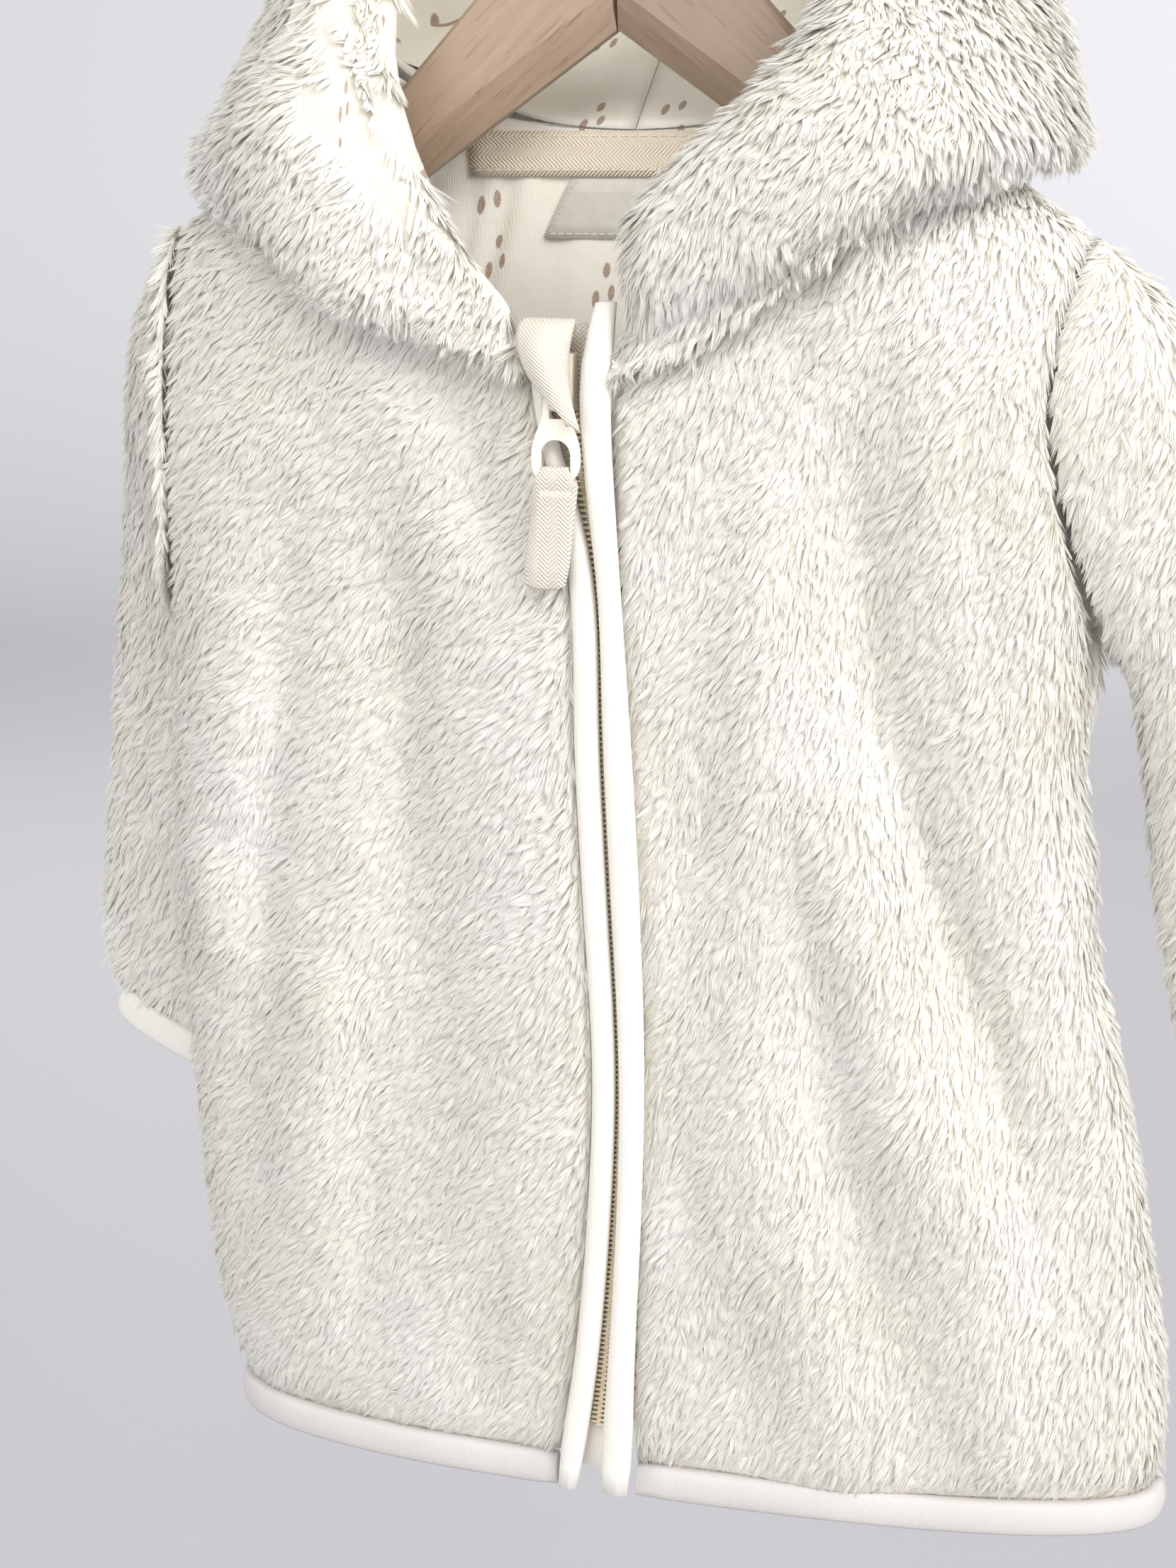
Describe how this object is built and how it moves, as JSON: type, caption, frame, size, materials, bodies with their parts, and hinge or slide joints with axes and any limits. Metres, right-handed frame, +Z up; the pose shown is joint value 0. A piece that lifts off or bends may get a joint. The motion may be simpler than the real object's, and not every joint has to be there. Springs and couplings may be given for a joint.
{
  "type": "hooded fleece jacket on a hanger",
  "caption": "Baby's hooded teddy-fleece jacket with long sleeves, knit bindings and a covered front zip, hanging on a wooden hanger.",
  "frame": {"origin": "underside of the hook's top, where it bears on a rail", "axes": "+Z up, +X to the viewer's right (the wearer's left), -Y out of the jacket's front"},
  "size_m": [0.414, 0.1376, 0.484],
  "materials": {
    "fleece": "long teddy pile",
    "jersey": "printed knit jersey",
    "binding": "soft knit",
    "tape": "herringbone weave",
    "label": "satin weave",
    "plastic": "satin",
    "wood": "clear lacquer",
    "steel": "polished wire"
  },
  "bodies": {
    "jacket": {"front_left": "fleece", "front_right": "fleece", "back": "fleece", "sleeve_left": "fleece", "sleeve_right": "fleece", "hood_left": "fleece", "hood_right": "fleece", "hood_lining_left": "jersey", "hood_lining_right": "jersey", "back_lining": "jersey", "zip_guard": "jersey", "front_binding_left": "binding", "front_binding_right": "binding", "hem_binding_left": "binding", "hem_binding_back": "binding", "hem_binding_right": "binding", "cuff_binding_left": "binding", "cuff_binding_right": "binding", "zip_garage": "binding", "neck_tape": "tape", "zip_tape_left": "tape", "zip_tape_right": "tape", "neck_label": "label", "zip_slider": "plastic", "hanger_arm_left": "wood", "hanger_arm_right": "wood", "hanger_hook": "steel"},
    "zip_pull": {"zip_puller": "plastic", "pull_tape": "tape"}
  },
  "joints": [
    {"name": "puller_swing", "type": "hinge", "parent": "jacket", "child": "zip_pull", "pos_m": [-0.0059, -0.0394, -0.1702], "axis": [-1, 0, 0], "range_deg": [0, 20]}
  ]
}
